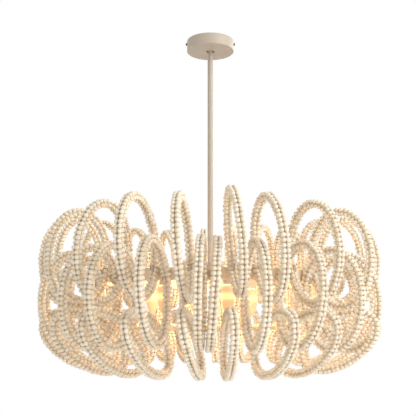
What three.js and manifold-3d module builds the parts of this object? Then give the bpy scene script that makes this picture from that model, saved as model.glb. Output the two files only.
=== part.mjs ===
// Beaded chandelier: a round ceiling canopy, a ball swivel, a plain stem, and a ring frame
// that carries three tiers of oval beaded hoops around six candle lamps.
//
// Lengths are millimetres. The origin is on the ceiling, over the stem, and +Z points up,
// so every piece hangs at negative heights. The photographed front faces -Y.

import * as THREE from 'three';
import { mergeVertices } from 'three/addons/utils/BufferGeometryUtils.js';
import Module from 'manifold-3d';

const wasm = await Module();
wasm.setup();

// Clearances
const touchGap = 0.3; // between two pieces that touch
const tieGap = 0.4; // between a hoop and the band that it is tied to
const swivelPlay = 0.6; // between the ball-shaped faces of the swivel
const cutMargin = 1; // how far a cutting tool runs past the wall that it cuts
const weldDepth = 2.5; // how deep a welded piece sinks into the piece that carries it
const mergeStep = 0.0005; // vertices closer than this are one

// Canopy: a pressed steel cup against the ceiling
const canopyRadius = 63.5;
const canopyHeight = 29.5;
const canopyWall = 1.6;
const canopyEdgeBevel = 2.4;
const canopyHoleRadius = 11;
const sideScrewDrop = 8;

// Ceiling bracket inside the canopy: a flat bar with an ear bent down at each end
const bracketThickness = 3;
const bracketWidth = 22;
const earThickness = 2.6;
const earWidth = 14;
const earLength = 22;
const boxScrewSpacing = 70;
const boxScrewHoleRadius = 2.6;

// Canopy side screws: shank through the canopy wall into the ear, round knob outside
const sideScrewRadius = 1.8;
const sideScrewKnobRadius = 3.6;
const sideScrewKnobLength = 3.4;
const sideScrewKnobBevel = 0.9;

// Ball swivel in the bottom of the canopy
const ballRadius = 12;
const ballRise = 10; // ball centre above the canopy's bottom plate
const linerWall = 1.6;
const linerBelowCentre = 6.5;
const linerAboveCentre = 1.5;
const seatWall = 3.2;
const seatAboveCentre = 2;
const neckRadius = 5.5;
const neckVisibleLength = 23.5;
const neckTailLength = 14; // the threaded tail inside the stem
const wireBoreRadius = 3.4;

// Stem
const stemRadius = 7.5;
const stemEndOverBand = 9; // the stem's end above the band's top edge
const stemSocketDepth = 15; // how far the stem goes into the hub

// Hub at the stem's foot
const hubRadius = 24;
const hubNeckRadius = 13;
const hubNeckLength = 8;
const hubHeight = 24;
const hubBevel = 3;
const capRadius = 15;
const capHeight = 11;
const capPegRadius = 4;
const capPegLength = 8;

// Band ring: a flat band standing on edge
const bandRadius = 275; // outside
const bandThickness = 3;
const bandTop = -633.5;
const bandHeight = 28.5;

// Arms from the hub to the band, with a lamp socket under each
const armCount = 6;
const firstArmTurn = -45; // degrees from the front, towards the right
const armWidth = 14;
const armThickness = 5;
const socketRadius = 13;
const socketLength = 24;
const socketBoreRadius = 7.2;
const socketBoreDepth = 17;

// Candle lamps, point down
const lampBaseRadius = 6.4;
const lampBaseLength = 14;
const lampRadius = 17.5;
const lampLength = 72;
const lampTipRadius = 4;
const lampRoom = 84; // between a lamp and the lower ring, as seen from above

// Beaded hoops: an oval tube of beads in a plane through the stem's axis
const hoopTubeRadius = 9.7; // over the beads
const hoopHalfWidth = 72.5; // to the middle of the tube, away from the stem
const upperHalfHeight = 111;
const middleHalfHeight = 112;
const lowerHalfWidth = 54;
const lowerHalfHeight = 100;
const upperOverBand = 38.5; // the middle of an upper hoop above the band's top edge
const middleUnderBand = 35; // the middle of a middle hoop below the band's bottom edge
const lowerUnderUpper = 26; // the top of a lower hoop below the bottom of an upper one
const lowerTip = 60; // degrees by which a lower hoop's top leans out from the stem
const hoopSteps = 16;
const ringWeldStep = 9; // the step of a lower hoop, counted from outside, that the ring is welded to
const hoopSides = 5;

// Lower ring: a round rod over the lower hoops, hung from the arms by posts
const lowerRingRodRadius = 4;
const lowerRingRoom = 4; // between the band's inner face and the ring, as seen from above
const postRadius = 3;

// How the hoops stand. A hoop's place is its even share of the circle plus its own turn,
// in degrees, and its lean is how far its top tips to the right, seen from outside.
const hoopsPerTier = 20;
const evenTurn = 360 / hoopsPerTier;
const upperFirstTurn = -171;
const middleFirstTurn = -180;
const lowerFirstTurn = -185;
const upperOwnTurns = [
  -5.5, -6, -5.5, -2.5, -2, -1, 2, 2.3, 0.3, -0.5,
  -0.5, -6.3, -5, -5, 6, 4, -1.5, 2, -0.5, -2,
];
const upperLeans = [-1, 5, 0, 2, 1, -4, 0, 2.5, -4, -4.5, -5, -4, 0, -1, 4, -1, 4, 3, -2, -0.5];
const middleOwnTurns = [
  -6.5, -6, -3.5, -7.5, -4, -1.5, -1.5, 4, -1, -1.8,
  -3.6, -2.7, -3, -3, -2.5, 2.5, 2, 1, -3, 1.5,
];
const middleLeans = [1, 1, 2, 1, -1, 1, -1, 2, -2.5, -4, 1, 1, 6, 2, -1.5, 1, -2, -1, -1, 0.5];
const pairedHoopTurn = 1;
const pairedHoopLean = 4;
const lowerOwnTurns = [
  2.3, 2.3, -4.5, -7, -10, -8.5, -0.5, 2.5, 1, -1,
  -2, -6.5, -7, -9.5, -1.5, -2.5, -2, -5, -3, 2.3,
];
const lowerLeans = [3, 4, 1, 0, 0, 1, -1, 0, -8, -7, -10, -2, -2, -5, -1, -1, 0, 1, -2, 1];

// How far a hoop is tied above its tier's height, as shares of its half height
const upperRiseShares = [
  0.02, -0.04, -0.04, 0.04, 0.06, -0.08, -0.11, -0.05, 0.03, -0.02,
  0.1, -0.01, -0.07, -0.13, -0.08, 0.01, 0.07, 0, 0.09, 0.14,
];
const middleRiseShares = [
  0.01, 0.04, -0.05, -0.01, 0.02, -0.02, -0.05, -0.02, 0, 0.07,
  0.05, 0, 0.01, -0.06, -0.1, 0.02, -0.01, 0.02, -0.02, 0.01,
];
const pairedHoopRiseShare = 0.02;

// Roundness
const canopySegments = 30;
const bandSegments = 56;
const lowerRingSegments = 40;
const lowerRingSides = 5;
const swivelSegments = 16;
const stemSegments = 16;
const hubSegments = 24;
const socketSegments = 12;
const lampSegments = 10;
const screwSegments = 10;
const arcSteps = 5;

// Heights and radii that follow from the sizes above
const ballHeight = -canopyHeight + canopyWall + ballRise;
const stemTop = -canopyHeight - neckVisibleLength;
const stemBoreRadius = neckRadius + touchGap;
const stemEndHeight = bandTop + stemEndOverBand;
const hubTop = stemEndHeight + stemSocketDepth;
const hubBodyTop = hubTop - hubNeckLength;
const hubBottom = hubBodyTop - hubHeight;
const bandBottom = bandTop - bandHeight;
const bandInnerFlat = (bandRadius - bandThickness) * Math.cos(Math.PI / bandSegments);
const armTop = bandTop - armThickness;
const armBottom = armTop - armThickness;
const armReach = Math.sqrt((bandInnerFlat - touchGap) ** 2 - (armWidth / 2) ** 2);
const upperCentreHeight = bandTop + upperOverBand;
const middleCentreHeight = bandBottom - middleUnderBand;
const lowerRingRadius = bandRadius - bandThickness - lowerRingRoom - lowerRingRodRadius;
const lampCircleRadius = lowerRingRadius - lowerRingRodRadius - lampRoom - lampRadius;

// Finishes, with colours as seen in the photograph
const finish = {
  paint: { color: 0xe9d3bd, roughness: 0.55, metalness: 0.0 },
  band: { color: 0xe3cdb4, roughness: 0.6, metalness: 0.0 },
  screw: { color: 0x6b5848, roughness: 0.4, metalness: 0.8 },
  steel: { color: 0xa9a8a4, roughness: 0.4, metalness: 0.9 },
  liner: { color: 0xe8e4da, roughness: 0.5, metalness: 0.0 },
  bead: { color: 0xe6dccb, roughness: 0.7, metalness: 0.0 },
  glow: { color: 0xfff0cf, roughness: 0.1, metalness: 0.0 },
};

// Shape helpers

// A geometry with only positions, shared vertices, no flat triangles, and faces outwards.
function closed(source) {
  const bare = source.index ? source.toNonIndexed() : source.clone();
  bare.deleteAttribute('normal');
  bare.deleteAttribute('uv');
  const merged = mergeVertices(bare, mergeStep);
  const index = merged.index.array;
  const points = merged.attributes.position;
  const a = new THREE.Vector3();
  const b = new THREE.Vector3();
  const c = new THREE.Vector3();
  const kept = [];
  let volume = 0;
  for (let i = 0; i < index.length; i += 3) {
    const [p, q, r] = [index[i], index[i + 1], index[i + 2]];
    if (p === q || q === r || r === p) continue;
    kept.push(p, q, r);
    a.fromBufferAttribute(points, p);
    b.fromBufferAttribute(points, q);
    c.fromBufferAttribute(points, r);
    volume += a.dot(b.cross(c));
  }
  if (volume < 0) {
    for (let i = 0; i < kept.length; i += 3) {
      [kept[i + 1], kept[i + 2]] = [kept[i + 2], kept[i + 1]];
    }
  }
  const result = new THREE.BufferGeometry();
  result.setAttribute('position', points);
  result.setIndex(kept);
  return result;
}

// A turned piece from a profile of [radius, height] pairs around the Z axis.
function turned(profile, segments, loop = false) {
  const points = profile.map(([radius, height]) => new THREE.Vector2(radius, height));
  if (loop) points.push(points[0].clone());
  return closed(new THREE.LatheGeometry(points, segments).rotateX(Math.PI / 2));
}

// Points of a circle's arc about [0, centre], by degrees above the level, as [radius, height].
function arc(radius, centre, fromDegrees, toDegrees, steps = arcSteps) {
  const points = [];
  for (let i = 0; i <= steps; i += 1) {
    const angle = THREE.MathUtils.degToRad(fromDegrees + ((toDegrees - fromDegrees) * i) / steps);
    points.push([radius * Math.cos(angle), centre + radius * Math.sin(angle)]);
  }
  return points;
}

// The angle, in degrees above the level, at which a circle reaches a height over its centre.
function levelOf(height, radius) {
  return THREE.MathUtils.radToDeg(Math.asin(height / radius));
}

// A round bar along X from one end to the other.
function barAlongX(radius, start, end, segments) {
  const bar = new THREE.CylinderGeometry(radius, radius, end - start, segments);
  return closed(bar.rotateZ(Math.PI / 2).translate((start + end) / 2, 0, 0));
}

// A round bar standing on Z.
function barAlongZ(radius, bottom, top, segments) {
  const bar = new THREE.CylinderGeometry(radius, radius, top - bottom, segments);
  return closed(bar.rotateX(Math.PI / 2).translate(0, 0, (bottom + top) / 2));
}

function box(sizeX, sizeY, bottom, top) {
  const block = new THREE.BoxGeometry(sizeX, sizeY, top - bottom);
  return closed(block.translate(0, 0, (bottom + top) / 2));
}

function toSolid(geometry) {
  return new wasm.Manifold(new wasm.Mesh({
    numProp: 3,
    vertProperties: Float32Array.from(geometry.attributes.position.array),
    triVerts: Uint32Array.from(geometry.index.array),
  }));
}

function toGeometry(solid) {
  const mesh = solid.getMesh();
  const result = new THREE.BufferGeometry();
  result.setAttribute('position', new THREE.BufferAttribute(mesh.vertProperties.slice(), 3));
  result.setIndex(Array.from(mesh.triVerts));
  return result;
}

// The angle about Z that turns +X to a place counted in degrees from the front to the right.
function turnOf(degrees) {
  return THREE.MathUtils.degToRad(degrees - 90);
}

// A place on the hoop's oval, and the way that faces out of the oval there.
function ovalPlace(step, halfWidth, halfHeight) {
  const t = (2 * Math.PI * step) / hoopSteps;
  const [cos, sin] = [Math.cos(t), Math.sin(t)];
  return {
    middle: new THREE.Vector2(halfWidth * cos, halfHeight * sin),
    out: new THREE.Vector2(cos / halfWidth, sin / halfHeight).normalize(),
  };
}

// The closed oval tube of a hoop, in the XZ plane around the origin.
function hoopGeometry(halfWidth, halfHeight) {
  const positions = [];
  const index = [];
  for (let i = 0; i < hoopSteps; i += 1) {
    const { middle, out } = ovalPlace(i, halfWidth, halfHeight);
    for (let j = 0; j < hoopSides; j += 1) {
      const p = (2 * Math.PI * j) / hoopSides;
      const away = hoopTubeRadius * Math.cos(p);
      positions.push(
        middle.x + out.x * away, hoopTubeRadius * Math.sin(p), middle.y + out.y * away,
      );
      const here = i * hoopSides + j;
      const aside = i * hoopSides + ((j + 1) % hoopSides);
      const next = ((i + 1) % hoopSteps) * hoopSides;
      index.push(here, next + j, aside, aside, next + j, next + ((j + 1) % hoopSides));
    }
  }
  const result = new THREE.BufferGeometry();
  result.setAttribute('position', new THREE.Float32BufferAttribute(positions, 3));
  result.setIndex(index);
  return closed(result);
}

// How far from the stem's axis the middle of a hoop stands when its rim, within the height
// of the band, comes up to the band's outer face.
function tiedCircleRadius(centreHeight, halfHeight, lean) {
  const upright = Math.cos(THREE.MathUtils.degToRad(lean));
  let nearest = hoopHalfWidth;
  for (let i = 0; i < hoopSteps; i += 1) {
    const [start, end] = [i, i + 1].map((step) => {
      const { middle, out } = ovalPlace(step, hoopHalfWidth, halfHeight);
      const rim = middle.addScaledVector(out, hoopTubeRadius);
      return rim.setY(centreHeight + rim.y * upright);
    });
    for (const height of [start.y, end.y, bandTop, bandBottom]) {
      const share = (height - start.y) / (end.y - start.y);
      const inBand = height <= bandTop && height >= bandBottom;
      if (inBand && share >= 0 && share <= 1) {
        nearest = Math.min(nearest, start.x + (end.x - start.x) * share);
      }
    }
  }
  return bandRadius + tieGap - nearest;
}

// Assembly
const chandelier = new THREE.Group();
chandelier.name = 'beaded_chandelier';

function addPiece(name, geometry, look, parent = chandelier) {
  const mesh = new THREE.Mesh(geometry, new THREE.MeshStandardMaterial(look));
  mesh.name = name;
  parent.add(mesh);
  return mesh;
}

function pieceNumber(i) {
  return String(i + 1).padStart(2, '0');
}

// Ceiling bracket
const earOuterX = Math.sqrt((canopyRadius - canopyWall - touchGap) ** 2 - (bracketWidth / 2) ** 2)
  * Math.cos(Math.PI / canopySegments);
let bracket = toSolid(box(2 * earOuterX, bracketWidth, -bracketThickness, 0));
for (const side of [-1, 1]) {
  const ear = box(earThickness, earWidth, -earLength, -bracketThickness / 2);
  ear.translate(side * (earOuterX - earThickness / 2), 0, 0);
  const screwHole = barAlongX(
    sideScrewRadius + touchGap, -earThickness, earThickness, screwSegments,
  );
  screwHole.translate(side * (earOuterX - earThickness / 2), 0, -sideScrewDrop);
  const boxHole = barAlongZ(
    boxScrewHoleRadius, -bracketThickness - cutMargin, cutMargin, screwSegments,
  );
  boxHole.translate((side * boxScrewSpacing) / 2, 0, 0);
  bracket = bracket.add(toSolid(ear)).subtract(toSolid(screwHole)).subtract(toSolid(boxHole));
}
addPiece('ceiling_bracket', toGeometry(bracket), finish.steel);

// Canopy cup, with a hole for the neck and one for each side screw
const canopyProfile = [
  [canopyRadius, 0],
  [canopyRadius, -canopyHeight + canopyEdgeBevel],
  [canopyRadius - canopyEdgeBevel, -canopyHeight],
  [canopyHoleRadius, -canopyHeight],
  [canopyHoleRadius, -canopyHeight + canopyWall],
  [canopyRadius - canopyEdgeBevel, -canopyHeight + canopyWall],
  [canopyRadius - canopyWall, -canopyHeight + canopyEdgeBevel],
  [canopyRadius - canopyWall, 0],
];
const screwHoles = barAlongX(
  sideScrewRadius + touchGap,
  -canopyRadius - cutMargin,
  canopyRadius + cutMargin,
  screwSegments,
).translate(0, 0, -sideScrewDrop);
const canopy = toSolid(turned(canopyProfile, canopySegments, true)).subtract(toSolid(screwHoles));
addPiece('canopy', toGeometry(canopy), finish.paint);

// Side screws: the knob stays clear of the wall, the shank ends inside the ear
const shankEnd = canopyRadius - earOuterX + earThickness;
const sideScrewProfile = [
  [0, -shankEnd],
  [sideScrewRadius, -shankEnd],
  [sideScrewRadius, touchGap],
  [sideScrewKnobRadius, touchGap],
  [sideScrewKnobRadius, sideScrewKnobLength - sideScrewKnobBevel],
  [sideScrewKnobRadius - sideScrewKnobBevel, sideScrewKnobLength],
  [0, sideScrewKnobLength],
];
const sideScrew = turned(sideScrewProfile, screwSegments);
for (const [name, side] of [['canopy_screw_left', -1], ['canopy_screw_right', 1]]) {
  const screw = addPiece(name, sideScrew, finish.screw);
  screw.position.set(side * canopyRadius, 0, -sideScrewDrop);
  screw.rotation.y = (side * Math.PI) / 2;
}

// Ball swivel: seat, liner, and the ball with its neck
const linerInner = ballRadius + swivelPlay;
const linerOuter = linerInner + linerWall;
const seatInner = linerOuter + swivelPlay;
const seatBottom = -canopyHeight + canopyWall + touchGap;
const seatTop = ballHeight + seatAboveCentre;
const seatProfile = [
  [seatInner + seatWall, seatBottom],
  [seatInner + seatWall, seatTop],
  ...arc(
    seatInner, ballHeight,
    levelOf(seatAboveCentre, seatInner), levelOf(seatBottom - ballHeight, seatInner),
  ),
];
addPiece('swivel_seat', turned(seatProfile, swivelSegments, true), finish.steel);

const linerProfile = [
  ...arc(
    linerOuter, ballHeight,
    levelOf(-linerBelowCentre, linerOuter), levelOf(linerAboveCentre, linerOuter), arcSteps - 2,
  ),
  ...arc(
    linerInner, ballHeight,
    levelOf(linerAboveCentre, linerInner), levelOf(-linerBelowCentre, linerInner), arcSteps - 2,
  ),
];
addPiece('swivel_liner', turned(linerProfile, swivelSegments, true), finish.liner);

const neckJoin = THREE.MathUtils.radToDeg(Math.acos(neckRadius / ballRadius));
const boreMouth = THREE.MathUtils.radToDeg(Math.acos(wireBoreRadius / ballRadius));
const neckProfile = [
  [wireBoreRadius, stemTop - neckTailLength],
  [neckRadius, stemTop - neckTailLength],
  ...arc(ballRadius, ballHeight, -neckJoin, boreMouth, arcSteps + 2),
];
addPiece('swivel_neck', turned(neckProfile, swivelSegments, true), finish.paint);

// Stem tube, from the neck into the hub
const stemProfile = [
  [stemRadius, stemTop],
  [stemRadius, stemEndHeight],
  [stemBoreRadius, stemEndHeight],
  [stemBoreRadius, stemTop],
];
addPiece('stem', turned(stemProfile, stemSegments, true), finish.paint);

// Lamp spider: hub, arms and sockets in one welded piece
const hubProfile = [
  [0, stemEndHeight - touchGap],
  [stemRadius + touchGap, stemEndHeight - touchGap],
  [stemRadius + touchGap, hubTop],
  [hubNeckRadius, hubTop],
  [hubNeckRadius, hubBodyTop],
  [hubRadius, hubBodyTop - hubBevel],
  [hubRadius, hubBottom],
  [capPegRadius + touchGap, hubBottom],
  [capPegRadius + touchGap, hubBottom + capPegLength + touchGap],
  [0, hubBottom + capPegLength + touchGap],
];
const socketTop = armBottom + weldDepth;
const socketBottom = armBottom - socketLength;
const socketProfile = [
  [0, socketTop],
  [socketRadius, socketTop],
  [socketRadius, socketBottom],
  [socketBoreRadius, socketBottom],
  [socketBoreRadius, socketBottom + socketBoreDepth],
  [0, socketBottom + socketBoreDepth],
];
let spider = toSolid(turned(hubProfile, hubSegments));
for (let i = 0; i < armCount; i += 1) {
  const turn = turnOf(firstArmTurn + (360 * i) / armCount);
  const armStart = hubRadius - weldDepth;
  const arm = box(armReach - armStart, armWidth, armBottom, armTop);
  arm.translate((armReach + armStart) / 2, 0, 0).rotateZ(turn);
  const socket = turned(socketProfile, socketSegments);
  socket.translate(lampCircleRadius, 0, 0).rotateZ(turn);
  spider = spider.add(toSolid(arm)).add(toSolid(socket));
}
addPiece('lamp_spider', toGeometry(spider), finish.paint);

const capProfile = [
  [0, hubBottom + capPegLength],
  [capPegRadius, hubBottom + capPegLength],
  [capPegRadius, hubBottom - touchGap],
  [capRadius, hubBottom - touchGap],
  [capRadius, hubBottom - touchGap - capHeight / 3],
  [capRadius * 0.7, hubBottom - touchGap - (capHeight * 5) / 6],
  [0, hubBottom - touchGap - capHeight],
];
addPiece('hub_cap', turned(capProfile, socketSegments), finish.paint);

// Band ring
const bandProfile = [
  [bandRadius, bandTop],
  [bandRadius, bandBottom],
  [bandRadius - bandThickness, bandBottom],
  [bandRadius - bandThickness, bandTop],
];
addPiece('band_ring', turned(bandProfile, bandSegments, true), finish.band);

// Candle lamps: screw base, then the blunt candle glass, on the axis of each socket
const glassTop = socketBottom - touchGap;
const lampProfile = [
  [0, glassTop + lampBaseLength],
  [lampBaseRadius, glassTop + lampBaseLength],
  [lampBaseRadius, glassTop],
  [lampRadius * 0.68, glassTop - lampLength * 0.1],
  [lampRadius, glassTop - lampLength * 0.32],
  [lampRadius * 0.86, glassTop - lampLength * 0.62],
  [lampTipRadius, glassTop - lampLength * 0.97],
  [0, glassTop - lampLength],
];
const lamp = turned(lampProfile, lampSegments);
for (let i = 0; i < armCount; i += 1) {
  const spoke = new THREE.Group();
  spoke.rotation.z = turnOf(firstArmTurn + (360 * i) / armCount);
  chandelier.add(spoke);
  addPiece(`lamp_${pieceNumber(i)}`, lamp, finish.glow, spoke).position.x = lampCircleRadius;
}

// Upper and middle tiers: separate hoops tied to the outside of the band
function addTiedHoop(name, geometry, centreHeight, halfHeight, turn, lean) {
  const spoke = new THREE.Group();
  spoke.rotation.z = turnOf(turn);
  chandelier.add(spoke);
  const hoop = addPiece(name, geometry, finish.bead, spoke);
  hoop.position.set(tiedCircleRadius(centreHeight, halfHeight, lean), 0, centreHeight);
  hoop.rotation.x = -THREE.MathUtils.degToRad(lean);
}

const upperHoop = hoopGeometry(hoopHalfWidth, upperHalfHeight);
for (let i = 0; i < hoopsPerTier; i += 1) {
  addTiedHoop(
    `upper_hoop_${pieceNumber(i)}`, upperHoop,
    upperCentreHeight + upperRiseShares[i] * upperHalfHeight, upperHalfHeight,
    upperFirstTurn + evenTurn * i + upperOwnTurns[i], upperLeans[i],
  );
}

const middleHoop = hoopGeometry(hoopHalfWidth, middleHalfHeight);
for (let i = 0; i < hoopsPerTier; i += 1) {
  addTiedHoop(
    `middle_hoop_${pieceNumber(i)}`, middleHoop,
    middleCentreHeight + middleRiseShares[i] * middleHalfHeight, middleHalfHeight,
    middleFirstTurn + evenTurn * i + middleOwnTurns[i], middleLeans[i],
  );
}
addTiedHoop(
  'middle_hoop_paired', middleHoop,
  middleCentreHeight + pairedHoopRiseShare * middleHalfHeight, middleHalfHeight,
  pairedHoopTurn, pairedHoopLean,
);

// Lower tier: hoops with their tops leaning out, welded under their own ring, which hangs
// from the arms on posts. The ring's rod lies on the upper inner rim of every hoop.
const tip = -THREE.MathUtils.degToRad(lowerTip);
const lowerTopRise = Math.hypot(lowerHalfHeight * Math.cos(tip), lowerHalfWidth * Math.sin(tip));
const lowerCentreHeight = upperCentreHeight - upperHalfHeight - lowerUnderUpper - lowerTopRise;
const { middle: weldMiddle, out: weldOut } = ovalPlace(ringWeldStep, lowerHalfWidth, lowerHalfHeight);
const ringPlace = weldMiddle
  .addScaledVector(weldOut, hoopTubeRadius + lowerRingRodRadius - weldDepth)
  .rotateAround(new THREE.Vector2(), tip);
const lowerCircleRadius = lowerRingRadius - ringPlace.x;
const lowerRingHeight = lowerCentreHeight + ringPlace.y;
const rodProfile = [];
for (let i = 0; i < lowerRingSides; i += 1) {
  const angle = (2 * Math.PI * i) / lowerRingSides;
  rodProfile.push([
    lowerRingRadius + lowerRingRodRadius * Math.cos(angle),
    lowerRingHeight + lowerRingRodRadius * Math.sin(angle),
  ]);
}
let lowerTier = toSolid(turned(rodProfile, lowerRingSegments, true));
const lowerHoop = hoopGeometry(lowerHalfWidth, lowerHalfHeight).rotateY(-tip);
for (let i = 0; i < hoopsPerTier; i += 1) {
  const hoop = lowerHoop.clone().rotateX(-THREE.MathUtils.degToRad(lowerLeans[i]));
  hoop.translate(lowerCircleRadius, 0, lowerCentreHeight);
  hoop.rotateZ(turnOf(lowerFirstTurn + evenTurn * i + lowerOwnTurns[i]));
  lowerTier = lowerTier.add(toSolid(hoop));
}
for (let i = 0; i < armCount; i += 1) {
  const turn = turnOf(firstArmTurn + (360 * i) / armCount);
  const post = barAlongZ(postRadius, lowerRingHeight, armBottom - touchGap, lowerRingSides);
  lowerTier = lowerTier.add(toSolid(post.translate(lowerRingRadius, 0, 0).rotateZ(turn)));
}
addPiece('lower_ring_with_hoops', toGeometry(lowerTier), finish.bead);

export default chandelier;
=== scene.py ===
# %% [markdown]
# # A beaded chandelier
# The light hangs from a round canopy on a plain stem. A flat ring at the stem's foot carries
# three tiers of oval hoops, and each hoop is an iron rod with four rows of round beads on it.
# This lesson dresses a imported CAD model. The model gives every place and size. The beads, the
# thread, the wire ties and the finishes are made here, because they are too fine for solids.

# %% Load the frame
import math

import bmesh
import bpy
import numpy as np
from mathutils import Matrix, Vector


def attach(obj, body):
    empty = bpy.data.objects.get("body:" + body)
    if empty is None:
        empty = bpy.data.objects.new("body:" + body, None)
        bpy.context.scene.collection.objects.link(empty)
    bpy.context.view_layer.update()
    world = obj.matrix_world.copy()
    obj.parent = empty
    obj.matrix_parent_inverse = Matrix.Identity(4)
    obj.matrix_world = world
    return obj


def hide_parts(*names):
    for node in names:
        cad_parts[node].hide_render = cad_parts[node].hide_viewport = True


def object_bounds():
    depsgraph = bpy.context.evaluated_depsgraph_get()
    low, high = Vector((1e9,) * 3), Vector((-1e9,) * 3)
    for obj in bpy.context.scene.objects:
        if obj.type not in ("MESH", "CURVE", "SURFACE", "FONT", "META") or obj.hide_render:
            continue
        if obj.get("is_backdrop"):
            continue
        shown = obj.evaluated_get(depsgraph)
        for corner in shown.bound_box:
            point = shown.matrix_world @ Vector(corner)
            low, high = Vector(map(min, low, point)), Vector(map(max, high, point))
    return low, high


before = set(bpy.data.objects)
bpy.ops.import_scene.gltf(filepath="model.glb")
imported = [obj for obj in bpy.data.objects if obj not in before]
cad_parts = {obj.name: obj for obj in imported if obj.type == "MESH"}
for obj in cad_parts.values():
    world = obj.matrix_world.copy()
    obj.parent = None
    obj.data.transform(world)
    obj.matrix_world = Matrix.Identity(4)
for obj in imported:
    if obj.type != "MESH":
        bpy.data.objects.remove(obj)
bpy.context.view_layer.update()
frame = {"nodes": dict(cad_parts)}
nodes = frame["nodes"]

# %% [markdown]
# ## The camera and the sizes
# The photograph is taken from the height of the middle hoops, with the camera tipped up to
# take in the canopy. So the tops of the near hoops stand higher in the picture than the far
# ones, and their bottoms lower. The camera here keeps that place, tilt and lens. Lengths are
# written in millimetres, as a maker would say them, and turned into metres.

# %% Sizes
MM = 0.001
MOUNT = "ceiling_mount"
LIGHT = "hanging_light"

CANOPY_RADIUS = 63.5
CANOPY_HEIGHT = 29.5
CANOPY_WALL = 1.6
CANOPY_HOLE = 11
SIDE_SCREW_DROP = 8
BALL_RADIUS = 12
BALL_HEIGHT = -17.9
NECK_RADIUS = 5.5
STEM_RADIUS = 7.5
STEM_TOP = -53
STEM_END = -624.5
HUB_BODY_TOP = -617.5
HUB_BOTTOM = -641.5
ARM_TOP = -638.5
ARM_BOTTOM = -643.5
SOCKET_BOTTOM = -667.5
LAMP_LENGTH = 72
LAMP_RADIUS = 17.5
LAMP_BASE_RADIUS = 6.4
LAMP_BASE_LENGTH = 14
LAMP_CIRCLE = 158.5
FIRST_ARM_TURN = -45
ARMS = 6
BAND_RADIUS = 275
BAND_THICKNESS = 3
BAND_TOP = -633.5
BAND_BOTTOM = -662
HOOP_HALF_WIDTH = 72.5
UPPER_HALF_HEIGHT = 111
MIDDLE_HALF_HEIGHT = 112
LOWER_HALF_WIDTH = 54
LOWER_HALF_HEIGHT = 100
LOWER_TIP = 60
LOWER_CENTRE = -800.46
LOWER_CIRCLE = 329.67
LOWER_RING_RADIUS = 264
LOWER_RING_ROD = 4
HOOP_TUBE = 9.6
HOOPS_PER_TIER = 20
GAP = 0.3
print("hoops in a tier", HOOPS_PER_TIER, "on a band of radius", BAND_RADIUS, "mm")


def millimetres(point):
    """A point of the frame, in metres, as an array of millimetres."""
    return np.array(point, float) / MM


# %% The camera
CAMERA_LENS = 60.3
CAMERA_PLACE = (-0.0064, -1.815, -0.7377)
CAMERA_TILT = 98.69
camera_data = bpy.data.cameras.new("photo_camera")
camera_data.lens = CAMERA_LENS
camera = bpy.data.objects.new("photo_camera", camera_data)
camera.location = CAMERA_PLACE
camera.rotation_euler = (math.radians(CAMERA_TILT), 0, 0)
bpy.context.collection.objects.link(camera)
bpy.context.scene.camera = camera
bpy.context.scene.view_settings.view_transform = "Standard"
print("camera lens", CAMERA_LENS, "mm, tilt", CAMERA_TILT, "degrees")

# %% [markdown]
# ## Finishes
# Each finish is a small tree of shader nodes. Paint, metal, wire and thread get a faint mottle
# from one helper, and some a fine bump. Noise reads Object coordinates, which suit any shape
# and need no unwrapping.

# %% Helpers for finishes


def new_finish(name, colour, roughness, metallic=0.0):
    """A material with its colour, roughness and metal set on the shader, and its tree."""
    material = bpy.data.materials.new(name)
    material.use_nodes = True
    shader = material.node_tree.nodes["Principled BSDF"]
    shader.inputs["Base Color"].default_value = (*colour, 1)
    shader.inputs["Roughness"].default_value = roughness
    shader.inputs["Metallic"].default_value = metallic
    return material, material.node_tree, shader


BUMP_HEIGHT = 0.0004
MOTTLE_LOW, MOTTLE_HIGH = 0.3, 0.7


def mottle(tree, shader, colour, depth, scale, bump=0.0, bump_scale=None):
    """Varies the base colour by a soft noise on Object coordinates, and adds a fine bump."""
    place = tree.nodes.new("ShaderNodeTexCoord")
    noise = tree.nodes.new("ShaderNodeTexNoise")
    noise.inputs["Scale"].default_value = scale
    noise.inputs["Detail"].default_value = 3
    ramp = tree.nodes.new("ShaderNodeValToRGB")
    ramp.color_ramp.elements[0].position = MOTTLE_LOW
    ramp.color_ramp.elements[1].position = MOTTLE_HIGH
    ramp.color_ramp.elements[0].color = (*[c * (1 - depth) for c in colour], 1)
    ramp.color_ramp.elements[1].color = (*[min(c * (1 + depth), 1) for c in colour], 1)
    tree.links.new(place.outputs["Object"], noise.inputs["Vector"])
    tree.links.new(noise.outputs["Fac"], ramp.inputs["Fac"])
    tree.links.new(ramp.outputs["Color"], shader.inputs["Base Color"])
    if bump:
        grain = tree.nodes.new("ShaderNodeTexNoise")
        grain.inputs["Scale"].default_value = bump_scale
        lift = tree.nodes.new("ShaderNodeBump")
        lift.inputs["Strength"].default_value = bump
        lift.inputs["Distance"].default_value = BUMP_HEIGHT
        tree.links.new(place.outputs["Object"], grain.inputs["Vector"])
        tree.links.new(grain.outputs["Fac"], lift.inputs["Height"])
        tree.links.new(lift.outputs["Normal"], shader.inputs["Normal"])


# %% Paint, metals and plastic
PAINT_COLOUR = (0.48, 0.41, 0.33)
paint, tree, shader = new_finish("cream_paint", PAINT_COLOUR, roughness=0.5)
mottle(tree, shader, PAINT_COLOUR, depth=0.04, scale=14, bump=0.15, bump_scale=420)

BAND_COLOUR = (0.82, 0.68, 0.50)
band_paint, tree, shader = new_finish("band_paint", BAND_COLOUR, roughness=0.55)
mottle(tree, shader, BAND_COLOUR, depth=0.05, scale=18, bump=0.2, bump_scale=380)

SCREW_COLOUR = (0.10, 0.07, 0.05)
dark_brass, tree, shader = new_finish(
    "dark_brass", SCREW_COLOUR, roughness=0.35, metallic=0.9)
mottle(tree, shader, SCREW_COLOUR, depth=0.25, scale=300)

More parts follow.
